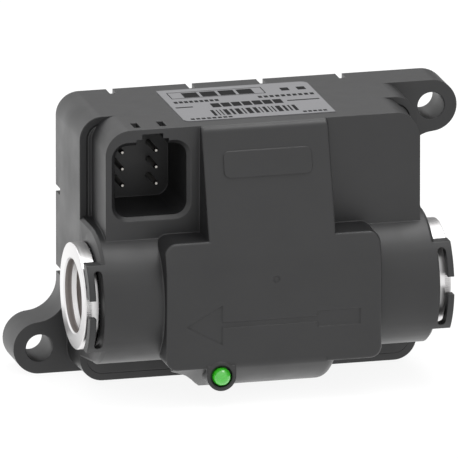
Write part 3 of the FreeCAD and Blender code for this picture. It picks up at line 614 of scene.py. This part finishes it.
@dataclass
class DrumBlend:
    """Blend between the left end of the drum and the underside of the cross bar."""

    front: tuple[float, float] = (-24.3, -20.2)
    inside: tuple[float, float] = (-14.0, -14.0)
    lower_edge: tuple[tuple[float, float, float], ...] = (
        (-34.0, -23.2, -20.9), (-31.0, -18.8, -22.8), (-29.0, -16.9, -23.8),
        (-27.0, -15.2, -25.0), (-25.0, -13.6, -26.7), (-23.2, -11.8, -28.6),
        (-21.4, -9.6, -30.2), (-18.2, -9.0, -30.4),
    )

    def station(self, bm: bmesh.types.BMesh,
                place: tuple[float, float, float]) -> list[bmesh.types.BMVert]:
        """Adds the three corners of the blend at one place along X.

        Args:
            bm: Mesh that gets the corners.
            place: Corner of the lower edge in mm.

        Returns:
            Front corner, lower corner and the corner inside the barrel.
        """
        x, y, z = place
        corners = [(x, *self.front), (x, y, z), (x, *self.inside)]
        return [bm.verts.new(Vector(corner) * MM) for corner in corners]

    def build(self) -> bpy.types.Object:
        """Builds the blend as one closed solid.

        Returns:
            The new object.
        """
        bm = bmesh.new()
        rings = [self.station(bm, place) for place in self.lower_edge]
        for first, second in zip(rings, rings[1:]):
            for i in range(len(first)):
                j = (i + 1) % len(first)
                bm.faces.new((first[i], first[j], second[j], second[i]))
        bm.faces.new(rings[0])
        bm.faces.new(rings[-1])
        bmesh.ops.recalc_face_normals(bm, faces=bm.faces[:])
        return mesh_object("drum_blend", bm, HOUSING_NYLON, SMOOTH_ROUND)


@dataclass
class SteelPort:
    """One steel port with its flange, ears, back lip, ring grooves and inner foot."""

    side: Side
    face_x: float = 60.8
    flange_r: float = 17.4
    flange_t: float = 4.5
    neck_r: float = 15.5
    foot_x: float = 49.1
    foot_t: float = 3.0
    foot_r: float = 18.6
    bore_r: float = 12.0
    groove_first: float = 1.5
    groove_w: float = 1.3
    groove_pitch: float = 2.8
    groove_depth: float = 1.1
    groove_slope: float = 0.15
    chamfer: float = 0.5
    chamfer_round: float = 0.3
    back_chamfer: float = 0.2
    bore_chamfer: float = 0.45
    lead_rise: float = 0.45
    ear_r: float = 18.2
    ear_length: float = 2.2
    ear_set_back: float = 0.3
    ear_chamfer: float = 0.15
    ear_half_deg: float = 26.0
    lip_length: float = 1.05
    lip_half_deg: float = 75.0
    root: float = 0.5
    overlap: float = 0.3
    in_bore_slack: float = 0.1
    shaded_ear_from: float = 0.6

    def profile(self) -> list[tuple[float, float]]:
        """Gives the turned profile, from the inner end outwards and back along the bore.

        Returns:
            Corners as (x, radius) in mm.
        """
        back_x = self.face_x - self.flange_t
        points = [
            (self.foot_x, self.bore_r),
            (self.foot_x, self.foot_r),
            (self.foot_x + self.foot_t, self.foot_r),
            (self.foot_x + self.foot_t, self.neck_r),
            (back_x, self.neck_r),
            (back_x, self.flange_r - self.back_chamfer),
            (back_x + self.back_chamfer, self.flange_r),
            (self.face_x - self.chamfer, self.flange_r),
            (self.face_x - self.chamfer * self.chamfer_round,
             self.flange_r - self.chamfer * self.chamfer_round),
            (self.face_x, self.flange_r - self.chamfer),
            (self.face_x, self.bore_r + self.bore_chamfer),
            (self.face_x - self.bore_chamfer, self.bore_r),
        ]
        deep = self.bore_r + self.groove_depth
        first = self.face_x - self.groove_first
        second = first - self.groove_pitch
        points += [
            (first, self.bore_r),
            (first - self.groove_slope, deep),
            (first - self.groove_w, deep),
            (first - self.groove_w, self.bore_r + self.lead_rise),
            (second, self.bore_r),
            (second - self.groove_slope, deep),
            (second - self.groove_w, deep),
            (second - self.groove_w, self.bore_r),
        ]
        return points

    def build(self) -> bpy.types.Object:
        """Builds the port and puts it in place of the plain node.

        Returns:
            The new object.
        """
        bm = spin_profile(self.profile())
        self.add_ears(bm)
        self.add_lip(bm)
        if self.side is Side.LEFT:
            bmesh.ops.scale(bm, vec=(-1, 1, 1), verts=bm.verts[:])
            bmesh.ops.reverse_faces(bm, faces=bm.faces[:])
        node = "port_" + self.side.name.lower()
        obj = mesh_object(node + "_turned", bm, PORT_STEEL, SMOOTH_ROUND)
        self.shade_bore_and_ears(obj)
        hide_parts(node)
        return obj

    def shade_bore_and_ears(self, obj: bpy.types.Object) -> None:
        """Gives the bore, but for the land between its grooves, and the ears' outer faces the
        rougher steel that is painted darker as their shade.

        Args:
            obj: The port.
        """
        obj.data.materials.append(SHADED_STEEL.build())
        deep = self.bore_r + self.groove_depth
        land_end = self.face_x - self.groove_first - self.groove_w
        mouth = self.face_x - self.bore_chamfer
        for face in obj.data.polygons:
            along = abs(face.center.x) / MM
            around = math.hypot(face.center.y, face.center.z) / MM
            in_bore = around < deep + self.in_bore_slack and along < mouth
            on_lead = land_end - self.groove_pitch + self.groove_w < along < land_end
            # painted shade: these faces get the darker steel, and the land between the grooves
            # stays bright
            if (in_bore and not on_lead) or around > self.flange_r + self.shaded_ear_from:
                face.material_index = 1

    def add_ears(self, bm: bmesh.types.BMesh) -> None:
        """Adds the two arc-shaped ears of the flange, one in front and one behind.

        Args:
            bm: Mesh of the port.
        """
        x1 = self.face_x - self.ear_set_back
        x0 = self.face_x - self.ear_length
        for centre_deg in (FRONT_DEG, REAR_DEG):
            corners = [(x0, self.flange_r - self.root), (x0, self.ear_r),
                       (x1 - self.ear_chamfer, self.ear_r), (x1, self.ear_r - self.ear_chamfer),
                       (x1, self.flange_r - self.root)]
            merge_into(bm, arc_solid(corners, centre_deg, self.ear_half_deg))

    def add_lip(self, bm: bmesh.types.BMesh) -> None:
        """Adds the back lip of the flange that shows in the slot of the fork bracket.

        Args:
            bm: Mesh of the port.
        """
        back_x = self.face_x - self.flange_t
        low, high = back_x - self.lip_length, back_x + self.overlap
        corners = [(low, self.neck_r - self.root), (low, self.flange_r),
                   (high, self.flange_r), (high, self.neck_r - self.root)]
        merge_into(bm, arc_solid(corners, FRONT_DEG, self.lip_half_deg))


def arc_solid(corners: Sequence[tuple[float, float]], centre_deg: float, half_deg: float,
              steps: int = 24) -> bmesh.types.BMesh:
    """Sweeps a profile part of the way round the X axis.

    Args:
        corners: Corners of the profile as (x, radius) in mm, in order.
        centre_deg: Middle of the sweep from straight up, towards the front.
        half_deg: Half of the angle that it covers.
        steps: Number of steps of the sweep.

    Returns:
        The closed solid.
    """
    bm = bmesh.new()
    start = math.radians(centre_deg - half_deg)
    verts = [bm.verts.new((x * MM, r * MM * math.sin(-start), r * MM * math.cos(start)))
             for x, r in corners]
    face = bm.faces.new(verts)
    bmesh.ops.spin(bm, geom=[face, *face.edges, *face.verts], cent=(0, 0, 0), axis=(1, 0, 0),
                   dvec=(0, 0, 0), angle=math.radians(2 * half_deg), steps=steps,
                   use_merge=False, use_duplicate=True)
    bmesh.ops.recalc_face_normals(bm, faces=bm.faces[:])
    return bm


def merge_into(target: bmesh.types.BMesh, source: bmesh.types.BMesh) -> None:
    """Adds one bmesh to another and frees it.

    Args:
        target: Mesh that gets the geometry.
        source: Mesh that is added.
    """
    mesh = bpy.data.meshes.new("part")
    source.to_mesh(mesh)
    source.free()
    target.from_mesh(mesh)
    bpy.data.meshes.remove(mesh)


@dataclass
class StatusLamp:
    """Domed green lens of the status light, with its rim and stem."""

    x: float = -17.7
    z: float = -23.1
    seat_y: float = -23.8
    radius: float = 2.95
    rim: float = 1.2
    stem_r: float = 2.2
    stem_y: float = -20.4
    dome_steps: int = 12
    turn_steps: int = 48

    def profile(self) -> list[tuple[float, float]]:
        """Gives the lens profile, from the pole of the dome to the end of the stem.

        Returns:
            Corners as (y, radius) in mm.
        """
        base = self.seat_y - self.rim
        dome = [(base - self.radius, 0.0)]
        for i in range(1, self.dome_steps + 1):
            angle = math.pi / 2 * i / self.dome_steps
            dome.append((base - self.radius * math.cos(angle), self.radius * math.sin(angle)))
        return dome + [(self.seat_y, self.radius), (self.seat_y, self.stem_r),
                       (self.stem_y, self.stem_r), (self.stem_y, 0.0)]

    def build(self) -> bpy.types.Object:
        """Builds the lens and puts it in place of the plain node.

        Returns:
            The new object.
        """
        bm = bmesh.new()
        verts = [bm.verts.new((self.x * MM, y * MM, (self.z + r) * MM))
                 for y, r in self.profile()]
        edges = [bm.edges.new((verts[i], verts[i + 1])) for i in range(len(verts) - 1)]
        bmesh.ops.spin(bm, geom=verts + edges, cent=(self.x * MM, 0, self.z * MM), axis=(0, 1, 0),
                       dvec=(0, 0, 0), angle=2 * math.pi, steps=self.turn_steps, use_merge=True,
                       use_duplicate=False)
        bmesh.ops.remove_doubles(bm, verts=bm.verts[:], dist=MERGE_LENS)
        bmesh.ops.recalc_face_normals(bm, faces=bm.faces[:])
        obj = mesh_object("lamp_lens_domed", bm, LENS_ACRYLIC)
        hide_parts("lamp_lens")
        return obj


@dataclass(frozen=True)
class PrintRow:
    """Row of equal blocks from x0 to x1 at y, in mm; share is a block's part of its step."""

    x0: float
    x1: float
    y: float
    height: float
    count: int
    share: float

    def spans(self) -> list[tuple[float, float]]:
        """Gives the two ends of each block.

        Returns:
            Pairs of X values.
        """
        gaps = 1.0 - self.share
        width = (self.x1 - self.x0) / (self.count - (gaps if self.count > 1 else 0.0))
        return [(self.x0 + i * width, self.x0 + (i + self.share) * width)
                for i in range(self.count)]


@dataclass
class TopLabel:
    """Print on the bare foil label: plain blocks, rules, a frame and stripes."""

    top_z: float = 56.85
    ink_t: float = 0.03
    ink_sunk: float = 0.01
    blocks: tuple[PrintRow, ...] = (
        PrintRow(-17.5, 5.8, 26.5, 5.6, 4, 0.84),
        PrintRow(-11.5, 12.0, 12.4, 4.8, 7, 0.84),
        PrintRow(-22.4, -7.6, 18.5, 2.2, 9, 0.7),
        PrintRow(5.7, 24.2, 18.8, 2.2, 10, 0.66),
        PrintRow(15.0, 23.2, 26.2, 3.4, 2, 0.5),
        PrintRow(-22.0, -8.2, -2.2, 1.6, 8, 0.7),
        PrintRow(15.4, 23.3, -1.8, 1.6, 5, 0.7),
        PrintRow(-23.4, -17.7, 12.3, 1.0, 1, 1.0),
        PrintRow(13.7, 24.4, 12.3, 1.0, 1, 1.0),
    )
    frame: tuple[float, float, float, float] = (-22.0, 9.4, 23.0, 30.6)
    frame_line: float = 0.3
    stripes: tuple[float, float, float, float] = (-13.4, 14.6, 0.2, 6.9)
    stripe_widths: tuple[float, ...] = (1.0, 0.4, 0.4, 1.4, 0.9, 1.5, 0.5, 1.6, 1.2, 0.4, 1.0,
                                        0.4, 0.5, 1.6, 0.9, 0.6, 1.1)

    def build(self) -> bpy.types.Object:
        """Builds the printed shapes as one thin piece on the label.

        Returns:
            The new object.
        """
        bm = bmesh.new()
        for row in self.blocks:
            for x0, x1 in row.spans():
                self.ink(bm, x0, x1, row.y - row.height / 2, row.y + row.height / 2)
        self.outline(bm)
        self.bands(bm)
        return mesh_object("label_print", bm, LABEL_PRINT, None)

    def outline(self, bm: bmesh.types.BMesh) -> None:
        """Adds the thin frame round the widest row.

        Args:
            bm: Mesh of the print.
        """
        x0, x1, y0, y1 = self.frame
        line = self.frame_line
        self.ink(bm, x0, x1, y0, y0 + line)
        self.ink(bm, x0, x1, y1 - line, y1)
        self.ink(bm, x0, x0 + line, y0 + line, y1 - line)
        self.ink(bm, x1 - line, x1, y0 + line, y1 - line)

    def bands(self, bm: bmesh.types.BMesh) -> None:
        """Adds the row of stripes of uneven width, with even gaps.

        Args:
            bm: Mesh of the print.
        """
        x0, x1, y0, y1 = self.stripes
        gap = (x1 - x0 - sum(self.stripe_widths)) / (len(self.stripe_widths) - 1)
        start = x0
        for width in self.stripe_widths:
            self.ink(bm, start, start + width, y0, y1)
            start += width + gap

    def ink(self, bm: bmesh.types.BMesh, x0: float, x1: float, y0: float, y1: float) -> None:
        """Adds one printed rectangle on the label.

        Args:
            bm: Mesh of the print.
            x0: Left edge in mm.
            x1: Right edge in mm.
            y0: Front edge in mm.
            y1: Rear edge in mm.
        """
        add_box(bm, Vector((x0, y0, self.top_z - self.ink_sunk)),
                Vector((x1, y1, self.top_z + self.ink_t)))


@dataclass
class PlainNodes:
    """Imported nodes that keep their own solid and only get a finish."""

    finishes: dict[str, Finish] = field(default_factory=lambda: {
        "housing_gasket": SEAL_RUBBER,
        "port_seal_left": SEAL_RUBBER,
        "port_seal_right": SEAL_RUBBER,
        "electrode_seal_rear": SEAL_RUBBER,
        "electrode_seal_front": SEAL_RUBBER,
        "flow_tube": LINER_ACETAL,
        "electrode_rear": PORT_STEEL,
        "electrode_front": PORT_STEEL,
        "electrode_nut_rear": PLATED_STEEL,
        "electrode_nut_front": PLATED_STEEL,
        "pole_upper": PLATED_STEEL,
        "pole_lower": PLATED_STEEL,
        "bobbin_upper": LINER_ACETAL,
        "bobbin_lower": LINER_ACETAL,
        "coil_upper": COPPER_WIRE,
        "coil_lower": COPPER_WIRE,
        "yoke": PLATED_STEEL,
        "circuit_board": BOARD_LACQUER,
        "board_screws": PLATED_STEEL,
        "plug_pins": TINNED_PIN,
        "lamp_body": LAMP_EPOXY,
        "label_plate": LABEL_FOIL,
    })

    def build(self) -> int:
        """Gives each node its finish.

        Returns:
            How many nodes were dressed.
        """
        for node, finish in self.finishes.items():
            materials = frame["nodes"][node].data.materials
            materials.clear()
            materials.append(finish.build())
        return len(self.finishes)


@dataclass(frozen=True)
class SoftLight:
    """Square soft light: its place and side in metres, and its power in watts."""

    name: str
    place: tuple[float, float, float]
    size: float
    watts: float

    def build(self) -> bpy.types.Object:
        """Adds the light, which looks at the object.

        Returns:
            The light's object.
        """
        data = bpy.data.lights.new(self.name, "AREA")
        data.shape = "SQUARE"
        data.size = self.size
        data.energy = self.watts
        obj = scene_object(self.name, data)
        obj.location = self.place
        obj.rotation_euler = (-Vector(self.place)).to_track_quat("-Z", "Y").to_euler()
        return obj


@dataclass
class Studio:
    """Pale floor, soft lights, pale surroundings that are dimmer behind, and the camera."""

    floor_z: float = -33.0
    floor_size: float = 60.0
    lens: float = 1600.0
    pixels: float = 458.0
    pixels_per_mm: float = 3.1
    origin_px: tuple[float, float] = (255.5, 283.05)
    azimuth: float = -14.34
    elevation: float = 15.65
    clip_m: tuple[float, float] = (0.1, 200.0)
    floor_color: str = "#f2f2f2"
    floor_gain: float = 1.7
    floor_shown: float = 0.9
    dim_towards: tuple[float, float, float] = (0.8, 0.6, 0.0)
    dim_from: tuple[float, float] = (0.25, 0.75)
    dim_level: tuple[float, float] = (1.7, 0.22)
    high_from: tuple[float, float] = (0.35, 0.85)
    high_level: tuple[float, float] = (1.0, 1.25)
    lights: tuple[SoftLight, ...] = (
        SoftLight("soft_top", (0.26, -0.05, 1.05), 0.5, 5.4),
        SoftLight("soft_back", (0.22, 0.75, 0.85), 0.7, 3.2),
    )

    def build(self) -> None:
        """Builds the floor, the world, the lights and the camera."""
        self.floor()
        self.world()
        for light in self.lights:
            light.build()
        self.camera()

    def floor(self) -> None:
        """Builds the floor, which turns white for the camera but keeps some shadow."""
        bm = bmesh.new()
        bmesh.ops.create_grid(bm, x_segments=1, y_segments=1, size=self.floor_size / 2,
                              matrix=Matrix.Translation((0, 0, self.floor_z * MM)))
        mesh = bpy.data.meshes.new("floor")
        bm.to_mesh(mesh)
        bm.free()
        floor = scene_object("floor", mesh)
        material = bpy.data.materials.new("pale floor")
        tree = fresh_tree(material)
        matt = add_node(tree, "ShaderNodeBsdfDiffuse", {"Color": linear(self.floor_color)})
        path = add_node(tree, "ShaderNodeLightPath")
        gain = add_node(tree, "ShaderNodeMath", {"operation": "MULTIPLY_ADD"},
                        [(path.outputs["Is Glossy Ray"], "Value")])
        gain.inputs[1].default_value = self.floor_gain - 1.0
        gain.inputs[2].default_value = 1.0
        white = add_node(tree, "ShaderNodeEmission", {"Color": linear(WHITE)},
                         [(gain.outputs[0], "Strength")])
        camera = add_node(tree, "ShaderNodeMath", {"operation": "MULTIPLY"},
                          [(path.outputs["Is Camera Ray"], "Value")])
        camera.inputs[1].default_value = self.floor_shown
        bright = add_node(tree, "ShaderNodeMath", {"operation": "ADD", "use_clamp": True},
                          [(path.outputs["Is Glossy Ray"], "Value")])
        tree.links.new(path.outputs["Is Transmission Ray"], bright.inputs[1])
        share = add_node(tree, "ShaderNodeMath", {"operation": "MAXIMUM"},
                         [(camera.outputs[0], "Value")])
        tree.links.new(bright.outputs[0], share.inputs[1])
        mix = add_node(tree, "ShaderNodeMixShader", links=[(share.outputs[0], "Fac")])
        tree.links.new(matt.outputs[0], mix.inputs[1])
        tree.links.new(white.outputs[0], mix.inputs[2])
        add_node(tree, "ShaderNodeOutputMaterial", links=[(mix.outputs[0], "Surface")])
        mesh.materials.append(material)

    def world(self) -> None:
        """Makes pale surroundings, dimmer behind the object, that the camera sees as white."""
        world = bpy.data.worlds.new("studio")
        bpy.context.scene.world = world
        tree = fresh_tree(world)
        place = add_node(tree, "ShaderNodeTexCoord")
        aside = add_node(tree, "ShaderNodeVectorMath", {"operation": "DOT_PRODUCT"},
                         [(place.outputs["Generated"], "Vector")])
        aside.inputs[1].default_value = self.dim_towards
        dim = add_node(tree, "ShaderNodeMapRange",
                       {"From Min": self.dim_from[0], "From Max": self.dim_from[1],
                        "To Min": self.dim_level[0], "To Max": self.dim_level[1]},
                       [(aside.outputs["Value"], "Value")])
        axes = add_node(tree, "ShaderNodeSeparateXYZ",
                        links=[(place.outputs["Generated"], "Vector")])
        high = add_node(tree, "ShaderNodeMapRange",
                        {"From Min": self.high_from[0], "From Max": self.high_from[1],
                         "To Min": self.high_level[0], "To Max": self.high_level[1]},
                        [(axes.outputs["Z"], "Value")])
        level = add_node(tree, "ShaderNodeMath", {"operation": "MULTIPLY"},
                         [(dim.outputs["Result"], "Value")])
        tree.links.new(high.outputs["Result"], level.inputs[1])
        around = add_node(tree, "ShaderNodeBackground", {"Color": linear(WHITE)},
                          [(level.outputs[0], "Strength")])
        seen = add_node(tree, "ShaderNodeBackground", {"Color": linear(WHITE), "Strength": 1.0})
        path = add_node(tree, "ShaderNodeLightPath")
        mix = add_node(tree, "ShaderNodeMixShader", links=[(path.outputs["Is Camera Ray"], "Fac")])
        tree.links.new(around.outputs[0], mix.inputs[1])
        tree.links.new(seen.outputs[0], mix.inputs[2])
        add_node(tree, "ShaderNodeOutputWorld", links=[(mix.outputs[0], "Surface")])

    def camera(self) -> None:
        """Sets the camera at the photograph's angle, far away with a long lens."""
        turn = math.radians(self.azimuth)
        rise = math.radians(self.elevation)
        back = Vector((math.sin(turn) * math.cos(rise), -math.cos(turn) * math.cos(rise),
                       math.sin(rise)))
        right = Vector((math.cos(turn), math.sin(turn), 0.0))
        up = back.cross(right)
        half = self.pixels / 2
        aim = right * ((half - self.origin_px[0]) / self.pixels_per_mm)
        aim += up * ((self.origin_px[1] - half) / self.pixels_per_mm)
        data = bpy.data.cameras.new("camera")
        data.lens = self.lens
        width = self.pixels / self.pixels_per_mm
        distance = width / 2 / (data.sensor_width / 2 / self.lens)
        data.clip_start, data.clip_end = self.clip_m
        camera = scene_object("camera", data)
        camera.location = (aim + back * distance) * MM
        camera.rotation_euler = (-back).to_track_quat("-Z", "Y").to_euler()
        bpy.context.scene.camera = camera


def corners(pair: Iterable[Vector]) -> list[list[float]]:
    """Gives the two corners of a box as rounded numbers."""
    return [[round(value, SIZE_DIGITS) for value in corner] for corner in pair]


def main() -> None:
    """Builds every sub-assembly in order and reports it."""
    logging.basicConfig(level=logging.INFO, format="%(message)s")
    bpy.context.scene.view_settings.view_transform = "Standard"
    log.info("%d nodes dressed", PlainNodes().build())
    for obj in Housing().build():
        log.info("built %s", obj.name)
    log.info("built %s", DrumBlend().build().name)
    for side in Side:
        log.info("built %s", SteelPort(side).build().name)
    log.info("built %s", StatusLamp().build().name)
    log.info("built %s", TopLabel().build().name)
    Studio().build()


if __name__ == "__main__":
    main()
